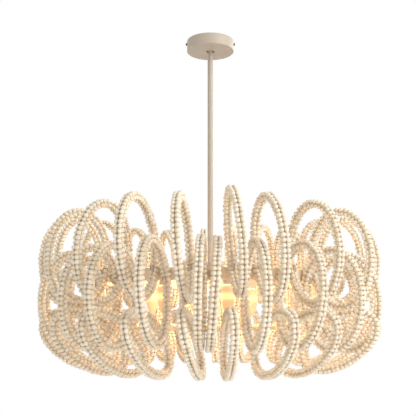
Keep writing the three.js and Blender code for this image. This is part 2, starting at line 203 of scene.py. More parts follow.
STEEL_COLOUR = (0.55, 0.55, 0.53)
zinc_steel, tree, shader = new_finish(
    "zinc_steel", STEEL_COLOUR, roughness=0.38, metallic=0.9)
mottle(tree, shader, STEEL_COLOUR, depth=0.12, scale=90, bump=0.1, bump_scale=600)

NYLON_COLOUR = (0.75, 0.73, 0.68)
nylon, tree, shader = new_finish("liner_nylon", NYLON_COLOUR, roughness=0.45)
mottle(tree, shader, NYLON_COLOUR, depth=0.04, scale=120)

# The thread's dark brown also colours the dots of painted shade in the holes where four beads meet.
THREAD_AND_SHADE_COLOUR = (0.38, 0.28, 0.19)
thread_and_painted_shade, tree, shader = new_finish("dark_thread_and_painted_shade", THREAD_AND_SHADE_COLOUR, roughness=0.85)
mottle(tree, shader, THREAD_AND_SHADE_COLOUR, depth=0.35, scale=500)

WIRE_COLOUR = (0.42, 0.33, 0.24)
tie_wire, tree, shader = new_finish("tie_wire", WIRE_COLOUR, roughness=0.5, metallic=0.4)
mottle(tree, shader, WIRE_COLOUR, depth=0.2, scale=300)

CORD_COLOUR = (0.80, 0.67, 0.50)
core_cord, tree, shader = new_finish("core_cord", CORD_COLOUR, roughness=0.8)
mottle(tree, shader, CORD_COLOUR, depth=0.2, scale=260)

print("plain finishes", [material.name for material in bpy.data.materials])

# %% [markdown]
# No two beads have quite the same tone. The stringing tree further down keeps a chance number
# on each bead as the attribute bead_tone. Here that number, with a little noise on top, picks
# a place between a light and a deep cream, so one finish does for thousands of beads.

# %% Beads
SPECK_SCALE, SPECK_SHARE = 240, 0.45
TONE_START = 0.25
BEAD_LIGHT = (0.86, 0.785, 0.66)
BEAD_DEEP = (0.81, 0.70, 0.54)
bead_finish, tree, shader = new_finish("bead_off_white", BEAD_LIGHT, roughness=0.62)
tone = tree.nodes.new("ShaderNodeAttribute")
tone.attribute_name = "bead_tone"
place = tree.nodes.new("ShaderNodeTexCoord")
speck = tree.nodes.new("ShaderNodeTexNoise")
speck.inputs["Scale"].default_value = SPECK_SCALE
speck.inputs["Detail"].default_value = 2
blend_tones = tree.nodes.new("ShaderNodeMath")
blend_tones.operation = "MULTIPLY_ADD"
blend_tones.inputs[1].default_value = SPECK_SHARE
tree.links.new(place.outputs["Object"], speck.inputs["Vector"])
tree.links.new(speck.outputs["Fac"], blend_tones.inputs[0])
tree.links.new(tone.outputs["Fac"], blend_tones.inputs[2])
tone_ramp = tree.nodes.new("ShaderNodeValToRGB")
tone_ramp.color_ramp.elements[0].position = TONE_START
tone_ramp.color_ramp.elements[0].color = (*BEAD_LIGHT, 1)
tone_ramp.color_ramp.elements[1].color = (*BEAD_DEEP, 1)
tree.links.new(blend_tones.outputs["Value"], tone_ramp.inputs["Fac"])
tree.links.new(tone_ramp.outputs["Color"], shader.inputs["Base Color"])
print("bead tones from", BEAD_LIGHT, "to", BEAD_DEEP)

# %% [markdown]
# The lamps are lit, and their frosted glass glows most where the filament is. Real glass is
# far brighter than white paper, and a picture would only show it as a white patch. So Light
# Path tells the camera's rays from the rest: the camera sees a calm glow, and the hoops get
# the strong one. The light comes from the glass itself, and so it swings along with the lamps.

# %% Lit lamp glass
GLASS_COLOUR = (0.55, 0.43, 0.28)
GLASS_SEEN, GLASS_SHED = 1.5, 27
lamp_glass, tree, shader = new_finish("lit_frosted_glass", GLASS_COLOUR, roughness=0.3)
GLOW_COLOUR = (1.0, 0.54, 0.21)
END_GLOW = 0.15
GLOW_LEVELS = ((0.45, 0.26), (0.62, 1.0), (0.79, 0.26))
shader.inputs["Emission Color"].default_value = (*GLOW_COLOUR, 1)
place = tree.nodes.new("ShaderNodeTexCoord")
height = tree.nodes.new("ShaderNodeSeparateXYZ")
up_the_lamp = tree.nodes.new("ShaderNodeMapRange")
up_the_lamp.inputs["From Min"].default_value = (SOCKET_BOTTOM - LAMP_LENGTH) * MM
up_the_lamp.inputs["From Max"].default_value = SOCKET_BOTTOM * MM
glow = tree.nodes.new("ShaderNodeValToRGB")
for position, level in GLOW_LEVELS:
    step = glow.color_ramp.elements.new(position)
    step.color = (level, level, level, 1)
for end in (0, -1):
    glow.color_ramp.elements[end].color = (END_GLOW, END_GLOW, END_GLOW, 1)
glow_strength = tree.nodes.new("ShaderNodeMath")
glow_strength.operation = "MULTIPLY"
glow_strength.inputs[1].default_value = GLASS_SEEN
tree.links.new(place.outputs["Object"], height.inputs["Vector"])
tree.links.new(height.outputs["Z"], up_the_lamp.inputs["Value"])
tree.links.new(up_the_lamp.outputs["Result"], glow.inputs["Fac"])
tree.links.new(glow.outputs["Color"], glow_strength.inputs[0])
path = tree.nodes.new("ShaderNodeLightPath")
seen_or_shed = tree.nodes.new("ShaderNodeMix")
seen_or_shed.inputs[2].default_value = GLASS_SHED
tree.links.new(path.outputs["Is Camera Ray"], seen_or_shed.inputs[0])
tree.links.new(glow_strength.outputs["Value"], seen_or_shed.inputs[3])
tree.links.new(seen_or_shed.outputs[0], shader.inputs["Emission Strength"])
print("finishes made:", len(bpy.data.materials))

# %% [markdown]
# ## Turned pieces
# The canopy, the screws, the stem and the lamps are all round about one axis. Each is a list
# of radius and height pairs swept round that axis, which is how a spun cup is drawn. Hard
# corners are kept sharp by their angle, and everything else is shaded smooth.

# %% Helpers for meshes
SHARP_ANGLE = 38
SAME_PLACE = 1e-6


def piece_from_mesh(name, vertices, faces, finish, body, slot, *replaced):
    """A finished mesh piece at the origin, smooth but for sharp corners, on its body."""
    mesh = bpy.data.meshes.new(name)
    mesh.from_pydata([tuple(v) for v in vertices], [], faces)
    mesh.materials.append(finish)
    tidy = bmesh.new()
    tidy.from_mesh(mesh)
    bmesh.ops.remove_doubles(tidy, verts=tidy.verts, dist=SAME_PLACE)
    bmesh.ops.recalc_face_normals(tidy, faces=tidy.faces)
    tidy.to_mesh(mesh)
    tidy.free()
    mesh.shade_smooth()
    mesh.set_sharp_from_angle(angle=math.radians(SHARP_ANGLE))
    piece = bpy.data.objects.new(name, mesh)
    bpy.context.collection.objects.link(piece)
    settle(piece, body, slot, *replaced)
    return piece


def settle(piece, body, slot, *replaced):
    """Says which body a piece rides on and the CAD nodes it stands for; slot is not used."""
    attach(piece, body)
    if replaced:
        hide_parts(*replaced)


def swept_round(profile, segments, loop=False, centre=(0, 0)):
    """Vertices and faces of a profile in millimetres, turned about a vertical axis."""
    vertices, faces, rings = [], [], []
    for radius, height in profile:
        if radius < SAME_PLACE:
            rings.append([len(vertices)] * segments)
            vertices.append((centre[0] * MM, centre[1] * MM, height * MM))
            continue
        ring = []
        for i in range(segments):
            angle = 2 * math.pi * i / segments
            ring.append(len(vertices))
            vertices.append((
                (centre[0] + radius * math.cos(angle)) * MM,
                (centre[1] + radius * math.sin(angle)) * MM,
                height * MM,
            ))
        rings.append(ring)
    last = len(rings) if loop else len(rings) - 1
    for k in range(last):
        near, far = rings[k], rings[(k + 1) % len(rings)]
        for i in range(segments):
            j = (i + 1) % segments
            corners = list(dict.fromkeys([near[i], near[j], far[j], far[i]]))
            if len(corners) > 2:
                faces.append(corners)
    return vertices, faces


def rounded(corner_points, radius, steps=4):
    """A profile with each inner corner rounded to a small radius, ends left as they are."""
    points = [corner_points[0]]
    for before, here, after in zip(corner_points, corner_points[1:], corner_points[2:]):
        a, b, c = (np.array(p, float) for p in (before, here, after))
        reach = min(radius, np.linalg.norm(a - b) / 2, np.linalg.norm(c - b) / 2)
        start = b + (a - b) / np.linalg.norm(a - b) * reach
        end = b + (c - b) / np.linalg.norm(c - b) * reach
        for i in range(steps + 1):
            t = i / steps
            points.append(tuple((1 - t) ** 2 * start + 2 * t * (1 - t) * b + t * t * end))
    points.append(corner_points[-1])
    return points


# %% The canopy
CANOPY_LIP, CANOPY_ROUNDING = 0.1, 1.3
inside = CANOPY_RADIUS - CANOPY_WALL
floor_inside = CANOPY_WALL - CANOPY_HEIGHT
canopy_profile = rounded([
    (inside + CANOPY_LIP, 0), (CANOPY_RADIUS, 0), (CANOPY_RADIUS, -CANOPY_HEIGHT),
    (CANOPY_HOLE, -CANOPY_HEIGHT), (CANOPY_HOLE, floor_inside),
    (inside, floor_inside), (inside, 0),
], CANOPY_ROUNDING)
vertices, faces = swept_round(canopy_profile, segments=112)
piece_from_mesh("canopy_cup", vertices, faces, paint, MOUNT, "painted_frame", "canopy")
print("canopy across", 2 * CANOPY_RADIUS, "mm, tall", CANOPY_HEIGHT, "mm")

# %% [markdown]
# The two small screws in the canopy's side have turned knobs. The knob lies on its side, so
# its profile is swept round a vertical axis first and each point is then laid over.

# %% The side screws
SHANK, SHANK_END = 1.8, -5.6
KNOB, KNOB_EDGE, KNOB_TOP = 3.6, 3.4, 3.7
KNOB_ROUNDING = 0.7
screw_profile = rounded([
    (0, SHANK_END), (SHANK, SHANK_END), (SHANK, GAP), (KNOB, GAP), (KNOB, KNOB_EDGE),
    (0, KNOB_TOP),
], KNOB_ROUNDING)
for name, side in (("left", -1), ("right", 1)):
    vertices, faces = swept_round(screw_profile, segments=28)
    laid = [
        (side * (CANOPY_RADIUS * MM + z), side * y, x - SIDE_SCREW_DROP * MM)
        for x, y, z in vertices
    ]
    piece_from_mesh(
        f"side_screw_{name}", laid, faces, dark_brass, MOUNT, "screw_metal",
        f"canopy_screw_{name}",
    )
print("screw knobs", 2 * KNOB, "mm across")

# %% [markdown]
# The neck is a ball and a thin rod turned in one piece. The ball rests in the seat inside the
# canopy, so the light can swing, and its bore lets the wires through. The stem is a plain tube
# over the neck's threaded tail.

# %% The neck and the stem
BORE = 3.4
TAIL = 14
STEM_ROUNDING = 0.6
STEM_LIP = 1
neck_join = math.degrees(math.acos(NECK_RADIUS / BALL_RADIUS))
bore_mouth = math.degrees(math.acos(BORE / BALL_RADIUS))
ball = [
    (BALL_RADIUS * math.cos(math.radians(a)), BALL_HEIGHT + BALL_RADIUS * math.sin(math.radians(a)))
    for a in np.linspace(-neck_join, bore_mouth, num=20)
]
neck_profile = [(BORE, STEM_TOP - TAIL), (NECK_RADIUS, STEM_TOP - TAIL), *ball]
vertices, faces = swept_round(neck_profile, segments=48, loop=True)
piece_from_mesh("ball_neck", vertices, faces, paint, LIGHT, "painted_frame", "swivel_neck")
stem_bore = NECK_RADIUS + GAP
stem_profile = rounded([
    (stem_bore, STEM_TOP - STEM_LIP), (stem_bore, STEM_TOP), (STEM_RADIUS, STEM_TOP),
    (STEM_RADIUS, STEM_END), (stem_bore, STEM_END), (stem_bore, STEM_END + STEM_LIP),
], STEM_ROUNDING)
vertices, faces = swept_round(stem_profile, segments=48, loop=True)
piece_from_mesh("stem_tube", vertices, faces, paint, LIGHT, "painted_frame", "stem")
print("stem", STEM_TOP - STEM_END, "mm long")

# %% [markdown]
# ## The ring, the hub and the lamps
# The band is a flat strip rolled into a ring and stood on edge. Six arms run to it from the
# hub, and a socket hangs under each arm. Little of this is seen behind the hoops, but it
# shows from above and from below, and it holds everything up.

# %% The band
BAND_ROUNDING = 0.5
band_middle = BAND_RADIUS - BAND_THICKNESS / 2
band_profile = rounded([
    (band_middle, BAND_TOP), (BAND_RADIUS, BAND_TOP), (BAND_RADIUS, BAND_BOTTOM),
    (BAND_RADIUS - BAND_THICKNESS, BAND_BOTTOM), (BAND_RADIUS - BAND_THICKNESS, BAND_TOP),
    (band_middle, BAND_TOP),
], BAND_ROUNDING, steps=2)
vertices, faces = swept_round(band_profile[:-1], segments=160, loop=True)
piece_from_mesh("flat_band", vertices, faces, band_paint, LIGHT, "painted_frame", "band_ring")
print("band", BAND_TOP - BAND_BOTTOM, "mm tall")


# %% The hub with its arms and sockets
def outward(turn):
    """The level direction that a turn points to, in degrees from the front to the right."""
    angle = math.radians(turn)
    return np.array([math.sin(angle), -math.cos(angle), 0.0])


def joined(parts):
    """Several lists of vertices and faces as one."""
    all_vertices, all_faces = [], []
    for vertices, faces in parts:
        shift = len(all_vertices)
        all_vertices.extend(vertices)
        all_faces.extend([[i + shift for i in face] for face in faces])
    return all_vertices, all_faces


def bar(start, end, width, low, high):
    """A flat bar from start to end, two level points in millimetres."""
    start, end = np.array(start, float), np.array(end, float)
    along = (end - start) / np.linalg.norm(end - start)
    aside = np.array([-along[1], along[0], 0]) * width / 2
    vertices = []
    for point in (start, end):
        for sign in (-1, 1):
            for height in (low, high):
                corner = point + sign * aside
                vertices.append((corner[0] * MM, corner[1] * MM, height * MM))
    faces = [[0, 1, 3, 2], [4, 6, 7, 5], [0, 4, 5, 1], [2, 3, 7, 6], [0, 2, 6, 4], [1, 5, 7, 3]]
    return vertices, faces


HUB_TOP = -609.5
HUB_NECK, HUB_RADIUS, HUB_SHOULDER = 13, 24, 3
PEG, PEG_LENGTH = 4, 8
ARM_WIDTH, ARM_INTO_HUB, ARM_SHORT_OF_BAND = 14, 2.5, 1.2
SOCKET_INTO_ARM = 2.5
hub_profile = [
    (0, STEM_END - GAP), (STEM_RADIUS + GAP, STEM_END - GAP), (STEM_RADIUS + GAP, HUB_TOP),
    (HUB_NECK, HUB_TOP), (HUB_NECK, HUB_BODY_TOP), (HUB_RADIUS, HUB_BODY_TOP - HUB_SHOULDER),
    (HUB_RADIUS, HUB_BOTTOM), (PEG + GAP, HUB_BOTTOM),
    (PEG + GAP, HUB_BOTTOM + PEG_LENGTH + GAP), (0, HUB_BOTTOM + PEG_LENGTH + GAP),
]
SOCKET_RADIUS, SOCKET_BORE, SOCKET_DEPTH = 13, 7.2, 17
socket_profile = [
    (0, ARM_BOTTOM + SOCKET_INTO_ARM), (SOCKET_RADIUS, ARM_BOTTOM + SOCKET_INTO_ARM),
    (SOCKET_RADIUS, SOCKET_BOTTOM), (SOCKET_BORE, SOCKET_BOTTOM),
    (SOCKET_BORE, SOCKET_BOTTOM + SOCKET_DEPTH),
    (0, SOCKET_BOTTOM + SOCKET_DEPTH),
]
arm_reach = BAND_RADIUS - BAND_THICKNESS - ARM_SHORT_OF_BAND
parts = [swept_round(hub_profile, segments=56)]
for i in range(ARMS):
    way = outward(FIRST_ARM_TURN + 360 * i / ARMS)
    arm_start = way * (HUB_RADIUS - ARM_INTO_HUB)
    parts.append(bar(arm_start, way * arm_reach, ARM_WIDTH, ARM_BOTTOM, ARM_TOP))
    parts.append(swept_round(socket_profile, segments=32, centre=(way[:2] * LAMP_CIRCLE)))
vertices, faces = joined(parts)
piece_from_mesh("hub_and_arms", vertices, faces, paint, LIGHT, "painted_frame", "lamp_spider")
print("arms", ARMS, "reaching", arm_reach, "mm")

# %% The cap under the hub
CAP_RADIUS, CAP_HEIGHT, CAP_ROUNDING = 15, 11, 1.2
CAP_FOOT, CAP_SHOULDER = 0.7, 0.83
cap_top = HUB_BOTTOM - GAP
cap_profile = rounded([
    (0, HUB_BOTTOM + PEG_LENGTH), (PEG, HUB_BOTTOM + PEG_LENGTH), (PEG, cap_top),
    (CAP_RADIUS, cap_top), (CAP_RADIUS, cap_top - CAP_HEIGHT / 3),
    (CAP_RADIUS * CAP_FOOT, cap_top - CAP_HEIGHT * CAP_SHOULDER), (0, cap_top - CAP_HEIGHT),
], CAP_ROUNDING)
vertices, faces = swept_round(cap_profile, segments=40)
piece_from_mesh("cap_under_hub", vertices, faces, paint, LIGHT, "painted_frame", "hub_cap")
print("cap", 2 * CAP_RADIUS, "mm across")

# %% [markdown]
# A candle lamp is a thin flame-shaped glass on a narrow base, here hanging tip down. A sine
# raised to a power gives the swell, full a little above the middle and drawn in to the tip.

# %% The candle lamps
LAMP_STEPS, FIRST_STEP = 22, 0.03
SWELL_PLACE, SWELL_FULLNESS = 0.72, 0.62
glass_top = SOCKET_BOTTOM - GAP
lamp_profile = [
    (0, glass_top + LAMP_BASE_LENGTH), (LAMP_BASE_RADIUS, glass_top + LAMP_BASE_LENGTH),
    (LAMP_BASE_RADIUS, glass_top),
]
for share in np.linspace(FIRST_STEP, 1, LAMP_STEPS):
    swell = math.sin(math.pi * share ** SWELL_PLACE) ** SWELL_FULLNESS
    neck_part = LAMP_BASE_RADIUS * (1 - share)
    lamp_profile.append((
        max(neck_part + (LAMP_RADIUS - neck_part) * swell, 0), glass_top - LAMP_LENGTH * share,
    ))
lamp_profile[-1] = (0, glass_top - LAMP_LENGTH)
for i in range(ARMS):
    way = outward(FIRST_ARM_TURN + 360 * i / ARMS)
    vertices, faces = swept_round(lamp_profile, segments=32, centre=way[:2] * LAMP_CIRCLE)
    piece_from_mesh(
        f"candle_lamp_{i + 1:02d}", vertices, faces, lamp_glass, LIGHT, "lamp_glass",
        f"lamp_{i + 1:02d}",
    )
print("lamps", ARMS)

# %% [markdown]
# ## Where each hoop stands
# An upper or middle hoop is its own CAD node, so its place, turn and lean are read from the
# node's mesh: the middle of its points, and the three directions in which they spread. The
# hoops of the lower tier are one node, so they follow the turns and leans that it was made
# with, in degrees, and each lies over with its top leaning out. No two hoops stand quite
# alike, because they are tied on by hand.


# %% Read the hoops
def hoop_from_node(name, half_height):
    """The centre, the outward and upward directions, and the half height of a CAD hoop."""
    points = millimetres([v.co for v in nodes[name].data.vertices])
    points = np.unique(points.round(3), axis=0)
    centre = (points.min(0) + points.max(0)) / 2
    spread = np.linalg.svd(points - points.mean(0))[2]
    across = spread[2]
    way = np.array([centre[0], centre[1], 0.0])
    way /= np.linalg.norm(way)
    up = np.cross(across, way)
    up *= math.copysign(1 / np.linalg.norm(up), up[2])
    return {
        "name": name, "centre": centre, "out": way, "up": up, "half": half_height,
        "wide": HOOP_HALF_WIDTH,
    }


hoops = []
for i in range(HOOPS_PER_TIER):
    hoops.append(hoop_from_node(f"upper_hoop_{i + 1:02d}", UPPER_HALF_HEIGHT))
for i in range(HOOPS_PER_TIER):
    hoops.append(hoop_from_node(f"middle_hoop_{i + 1:02d}", MIDDLE_HALF_HEIGHT))
hoops.append(hoop_from_node("middle_hoop_paired", MIDDLE_HALF_HEIGHT))

LOWER_FIRST_TURN = -185
LOWER_OWN_TURNS = (
    2.3, 2.3, -4.5, -7, -10, -8.5, -0.5, 2.5, 1, -1,
    -2, -6.5, -7, -9.5, -1.5, -2.5, -2, -5, -3, 2.3,
)
LOWER_LEANS = (3, 4, 1, 0, 0, 1, -1, 0, -8, -7, -10, -2, -2, -5, -1, -1, 0, 1, -2, 1)
tip = math.radians(LOWER_TIP)
for i in range(HOOPS_PER_TIER):
    way = outward(LOWER_FIRST_TURN + 360 / HOOPS_PER_TIER * i + LOWER_OWN_TURNS[i])
    aside = np.array([-way[1], way[0], 0.0])
    lean = math.radians(LOWER_LEANS[i])
    upright = aside * math.sin(lean) + np.array([0, 0, math.cos(lean)])
    hoops.append({
        "name": f"lower_hoop_{i + 1:02d}", "half": LOWER_HALF_HEIGHT, "wide": LOWER_HALF_WIDTH,
        "centre": way * LOWER_CIRCLE + np.array([0, 0, LOWER_CENTRE]),
        "out": way * math.cos(tip) - upright * math.sin(tip),
        "up": upright * math.cos(tip) + way * math.sin(tip),
    })
print("hoops", len(hoops))


# %% [markdown]
# The solids' hoops have straight steps, so a true oval of the same size would sink a little
# into the band. Each tied hoop is moved outward until its beads rest on the band's edge.


# %% Seat the hoops on the band
TIE_GAP = 0.6
tied_hoops = hoops[:2 * HOOPS_PER_TIER + 1]
for hoop in tied_hoops:
    height = hoop["centre"][2]
    edge = BAND_TOP if height > BAND_TOP else BAND_BOTTOM
    share = (edge - height) / hoop["half"]
    circle = BAND_RADIUS + TIE_GAP + HOOP_TUBE + HOOP_HALF_WIDTH * math.sqrt(1 - share ** 2)
    hoop["centre"][:2] = hoop["out"][:2] * circle
print("upper circle", np.linalg.norm(hoops[0]["centre"][:2]).round(1), "mm")


def oval_line(hoop, outset, aside, steps):
    """Points of an oval beside a hoop's middle line: outset outwards, aside to one side."""
    normal = np.cross(hoop["up"], hoop["out"])
    points = []
    for i in range(steps):
        t = 2 * math.pi * i / steps
        cos, sin = math.cos(t), math.sin(t)
        flat = np.array([cos / hoop["wide"], sin / hoop["half"]])
        flat /= np.linalg.norm(flat)
        along = hoop["wide"] * cos + flat[0] * outset
        rise = hoop["half"] * sin + flat[1] * outset
        points.append(hoop["centre"] + hoop["out"] * along + hoop["up"] * rise + normal * aside)
    return np.array(points) * MM


# %% [markdown]
# ## Beads on a hoop
# Four rows of beads run round each rod, two on the outside and two on the inside. A row is an
# oval curve a little off the rod's middle line. Geometry Nodes then does the stringing: it
# spaces points along each curve, sets a bead on each point with its hole along the curve,
# varies its size, place and tone by a fixed seed, and makes everything one mesh. A bead is
# repeated thousands of times, so it has only sixty faces, shaded smooth.

# %% One bead
BEAD = 10.2
BEAD_SEGMENTS, BEAD_RINGS = 10, 6
bead_mesh = bpy.data.meshes.new("one_bead")
builder = bmesh.new()
bmesh.ops.create_uvsphere(
    builder, u_segments=BEAD_SEGMENTS, v_segments=BEAD_RINGS, radius=0.5)
builder.to_mesh(bead_mesh)
builder.free()
bead_mesh.shade_smooth()
one_bead = bpy.data.objects.new("one_bead", bead_mesh)
bpy.context.collection.objects.link(one_bead)
print("faces in a bead", len(bead_mesh.polygons))

# %% [markdown]
# A dark thread lashes the two outer rows together and dips between the beads. Wherever four
# beads meet, a small dark dot of painted shade stands in the hole between them. Each dot is a
# slim grain along the groove, and the same tree strings the dots half a bead away from the beads.

# %% One dot of painted shade
SHADE_DOT_WIDTH, SHADE_DOT_LENGTH = 1.2, 3.2
shade_dot_mesh = bpy.data.meshes.new("one_stitch")
builder = bmesh.new()
bmesh.ops.create_icosphere(builder, subdivisions=1, radius=0.5)
bmesh.ops.scale(
    builder, vec=(SHADE_DOT_WIDTH * MM, SHADE_DOT_WIDTH * MM, SHADE_DOT_LENGTH * MM),
    verts=builder.verts)
builder.to_mesh(shade_dot_mesh)
builder.free()
shade_dot_mesh.shade_smooth()
one_stitch = bpy.data.objects.new("one_stitch", shade_dot_mesh)
bpy.context.collection.objects.link(one_stitch)
print("faces in a dot of painted shade", len(shade_dot_mesh.polygons))


# %% The stringing tree
TONE_SEED_STEP = 77


def string_beads_tree():
    """Geometry Nodes that string beads along every curve of an object."""
    tree = bpy.data.node_groups.new("String beads", "GeometryNodeTree")
    face = tree.interface
    face.new_socket("Geometry", in_out="INPUT", socket_type="NodeSocketGeometry")
    for label, kind in (
        ("Bead", "NodeSocketObject"), ("Bead spacing", "NodeSocketFloat"),
        ("Bead size", "NodeSocketFloat"), ("Size spread", "NodeSocketFloat"),
        ("Place spread", "NodeSocketFloat"), ("Seed", "NodeSocketInt"),
        ("Bead finish", "NodeSocketMaterial"),
    ):
        face.new_socket(label, in_out="INPUT", socket_type=kind)
    face.new_socket("Geometry", in_out="OUTPUT", socket_type="NodeSocketGeometry")
    nodes, links = tree.nodes, tree.links
    given = nodes.new("NodeGroupInput")
    made = nodes.new("NodeGroupOutput")
    spaced = nodes.new("GeometryNodeResampleCurve")
    spaced.mode = "LENGTH"
    links.new(given.outputs["Geometry"], spaced.inputs["Curve"])
    links.new(given.outputs["Bead spacing"], spaced.inputs["Length"])
    stray = nodes.new("FunctionNodeRandomValue")
    stray.data_type = "FLOAT_VECTOR"
    stray.inputs[0].default_value = (-1, -1, -1)
    stray.inputs[1].default_value = (1, 1, 1)
    links.new(given.outputs["Seed"], stray.inputs["Seed"])
    shift = nodes.new("ShaderNodeVectorMath")
    shift.operation = "SCALE"
    links.new(stray.outputs[0], shift.inputs[0])
    links.new(given.outputs["Place spread"], shift.inputs["Scale"])
    loose = nodes.new("GeometryNodeSetPosition")
    links.new(spaced.outputs["Curve"], loose.inputs["Geometry"])
    links.new(shift.outputs[0], loose.inputs["Offset"])
    tangent = nodes.new("GeometryNodeInputTangent")
    aim = nodes.new("FunctionNodeAlignRotationToVector")
    aim.axis = "Z"
    links.new(tangent.outputs["Tangent"], aim.inputs["Vector"])
    bead = nodes.new("GeometryNodeObjectInfo")
    links.new(given.outputs["Bead"], bead.inputs["Object"])
    small = nodes.new("ShaderNodeMath")
    small.operation = "SUBTRACT"
    small.inputs[0].default_value = 1
    links.new(given.outputs["Size spread"], small.inputs[1])
    large = nodes.new("ShaderNodeMath")
    large.operation = "ADD"
    large.inputs[0].default_value = 1
    links.new(given.outputs["Size spread"], large.inputs[1])
    vary = nodes.new("FunctionNodeRandomValue")
    links.new(small.outputs[0], vary.inputs[2])
    links.new(large.outputs[0], vary.inputs[3])
    links.new(given.outputs["Seed"], vary.inputs["Seed"])
    size = nodes.new("ShaderNodeMath")
    size.operation = "MULTIPLY"
    links.new(vary.outputs[1], size.inputs[0])
    links.new(given.outputs["Bead size"], size.inputs[1])
    strung = nodes.new("GeometryNodeInstanceOnPoints")
    links.new(loose.outputs["Geometry"], strung.inputs["Points"])
    links.new(bead.outputs["Geometry"], strung.inputs["Instance"])
    links.new(aim.outputs["Rotation"], strung.inputs["Rotation"])
    links.new(size.outputs[0], strung.inputs["Scale"])
    tone = nodes.new("FunctionNodeRandomValue")
    next_seed = nodes.new("ShaderNodeMath")
    next_seed.operation = "ADD"
    next_seed.inputs[1].default_value = TONE_SEED_STEP
    links.new(given.outputs["Seed"], next_seed.inputs[0])
    links.new(next_seed.outputs[0], tone.inputs["Seed"])
    keep = nodes.new("GeometryNodeStoreNamedAttribute")
    keep.data_type = "FLOAT"
    keep.domain = "INSTANCE"
    keep.inputs["Name"].default_value = "bead_tone"
    links.new(strung.outputs["Instances"], keep.inputs["Geometry"])
    links.new(tone.outputs[1], keep.inputs["Value"])
    real = nodes.new("GeometryNodeRealizeInstances")
    links.new(keep.outputs["Geometry"], real.inputs["Geometry"])
    finish = nodes.new("GeometryNodeSetMaterial")
    links.new(real.outputs["Geometry"], finish.inputs["Geometry"])
    links.new(given.outputs["Bead finish"], finish.inputs["Material"])
    links.new(finish.outputs["Geometry"], made.inputs["Geometry"])
    return tree


stringing = string_beads_tree()
socket_of = {item.name: item.identifier for item in stringing.interface.items_tree
             if item.in_out == "INPUT"}
print("stringing inputs", sorted(socket_of))


# %% Curves and meshes from lines
def curve_of_lines(name, lines):
    """A curve object with one closed poly line for each list of points."""
    curve = bpy.data.curves.new(name, "CURVE")
    curve.dimensions = "3D"
    for line in lines:
        spline = curve.splines.new("POLY")
        spline.points.add(len(line) - 1)
        spline.points.foreach_set("co", np.c_[line, np.ones(len(line))].ravel())
        spline.use_cyclic_u = True
    made = bpy.data.objects.new(name, curve)
    bpy.context.collection.objects.link(made)
    return made


def closed_tube(line, radius, sides):
    """Vertices and faces of a thin tube round a closed line, in metres."""
    count = len(line)
    ahead, behind = np.roll(line, -1, axis=0), np.roll(line, 1, axis=0)
    along = ahead - behind
    along /= np.linalg.norm(along, axis=1)[:, None]
    middle = line.mean(0)
    toward = line - middle
    toward -= (toward * along).sum(1)[:, None] * along
    toward /= np.linalg.norm(toward, axis=1)[:, None]
    aside = np.cross(along, toward)
    vertices, faces = [], []
    for i in range(count):
        for j in range(sides):
            angle = 2 * math.pi * j / sides
            vertices.append(line[i] + radius * (
                toward[i] * math.cos(angle) + aside[i] * math.sin(angle)))
            k, m = (i + 1) % count, (j + 1) % sides
            faces.append([i * sides + j, k * sides + j, k * sides + m, i * sides + m])
    return vertices, faces


# %% [markdown]
# ## String every hoop
# A cream cord over the rod fills the middle, so no light comes through between the beads, and
# a dark thread lies in the groove of the outer rim. The two outer rows start at the same place,
# so their beads sit side by side, and the inner rows start anywhere. Beads, cord, thread and
# the dots of painted shade become one mesh, with one finish for each.

# %% Rows, core and thread
ROW_RADIUS = 6.9
ROW_ANGLES = (45, -45, 135, -135)
BEAD_SPACING = 10.8
BEAD_SIZE_SPREAD, BEAD_PLACE_SPREAD = 0.09, 0.7
CORE_RADIUS, CORE_SIDES = 4.8, 8
THREAD_OUTSET, THREAD_RADIUS, THREAD_SIDES = 6.1, 0.7, 4
# The dots of painted shade sit in the groove, in the holes where four beads meet.
SHADE_DOT_OUTSET = 8.0
SHADE_DOT_SIZE_SPREAD, SHADE_DOT_PLACE_SPREAD = 0.25, 0.3
LINE_STEPS, CORE_STEPS = 240, 90
CORD_SLOT, THREAD_AND_SHADE_SLOT = 1, 2

row_start = np.random.default_rng(4)


def string_along(name, lines, bead, spacing, size, size_spread, place_spread, seed, finish):
    """The mesh that the stringing tree makes along a set of closed lines."""
    strung = curve_of_lines(name, lines)
    stringer = strung.modifiers.new("String beads", "NODES")
    stringer.node_group = stringing
    for label, value in (
        ("Bead", bead), ("Bead spacing", spacing * MM), ("Bead size", size),
        ("Size spread", size_spread), ("Place spread", place_spread * MM), ("Seed", seed),
        ("Bead finish", finish),
    ):
        stringer[socket_of[label]] = value
    graph = bpy.context.evaluated_depsgraph_get()
    mesh = bpy.data.meshes.new_from_object(strung.evaluated_get(graph), depsgraph=graph)
    strung.modifiers.remove(stringer)
    bpy.data.objects.remove(strung)
    mesh.materials.clear()
    mesh.materials.append(finish)
    mesh.polygons.foreach_set("material_index", [0] * len(mesh.polygons))
    return mesh


def length_round(line):
    """The length round a closed line."""
    return np.linalg.norm(np.roll(line, -1, axis=0) - line, axis=1).sum()


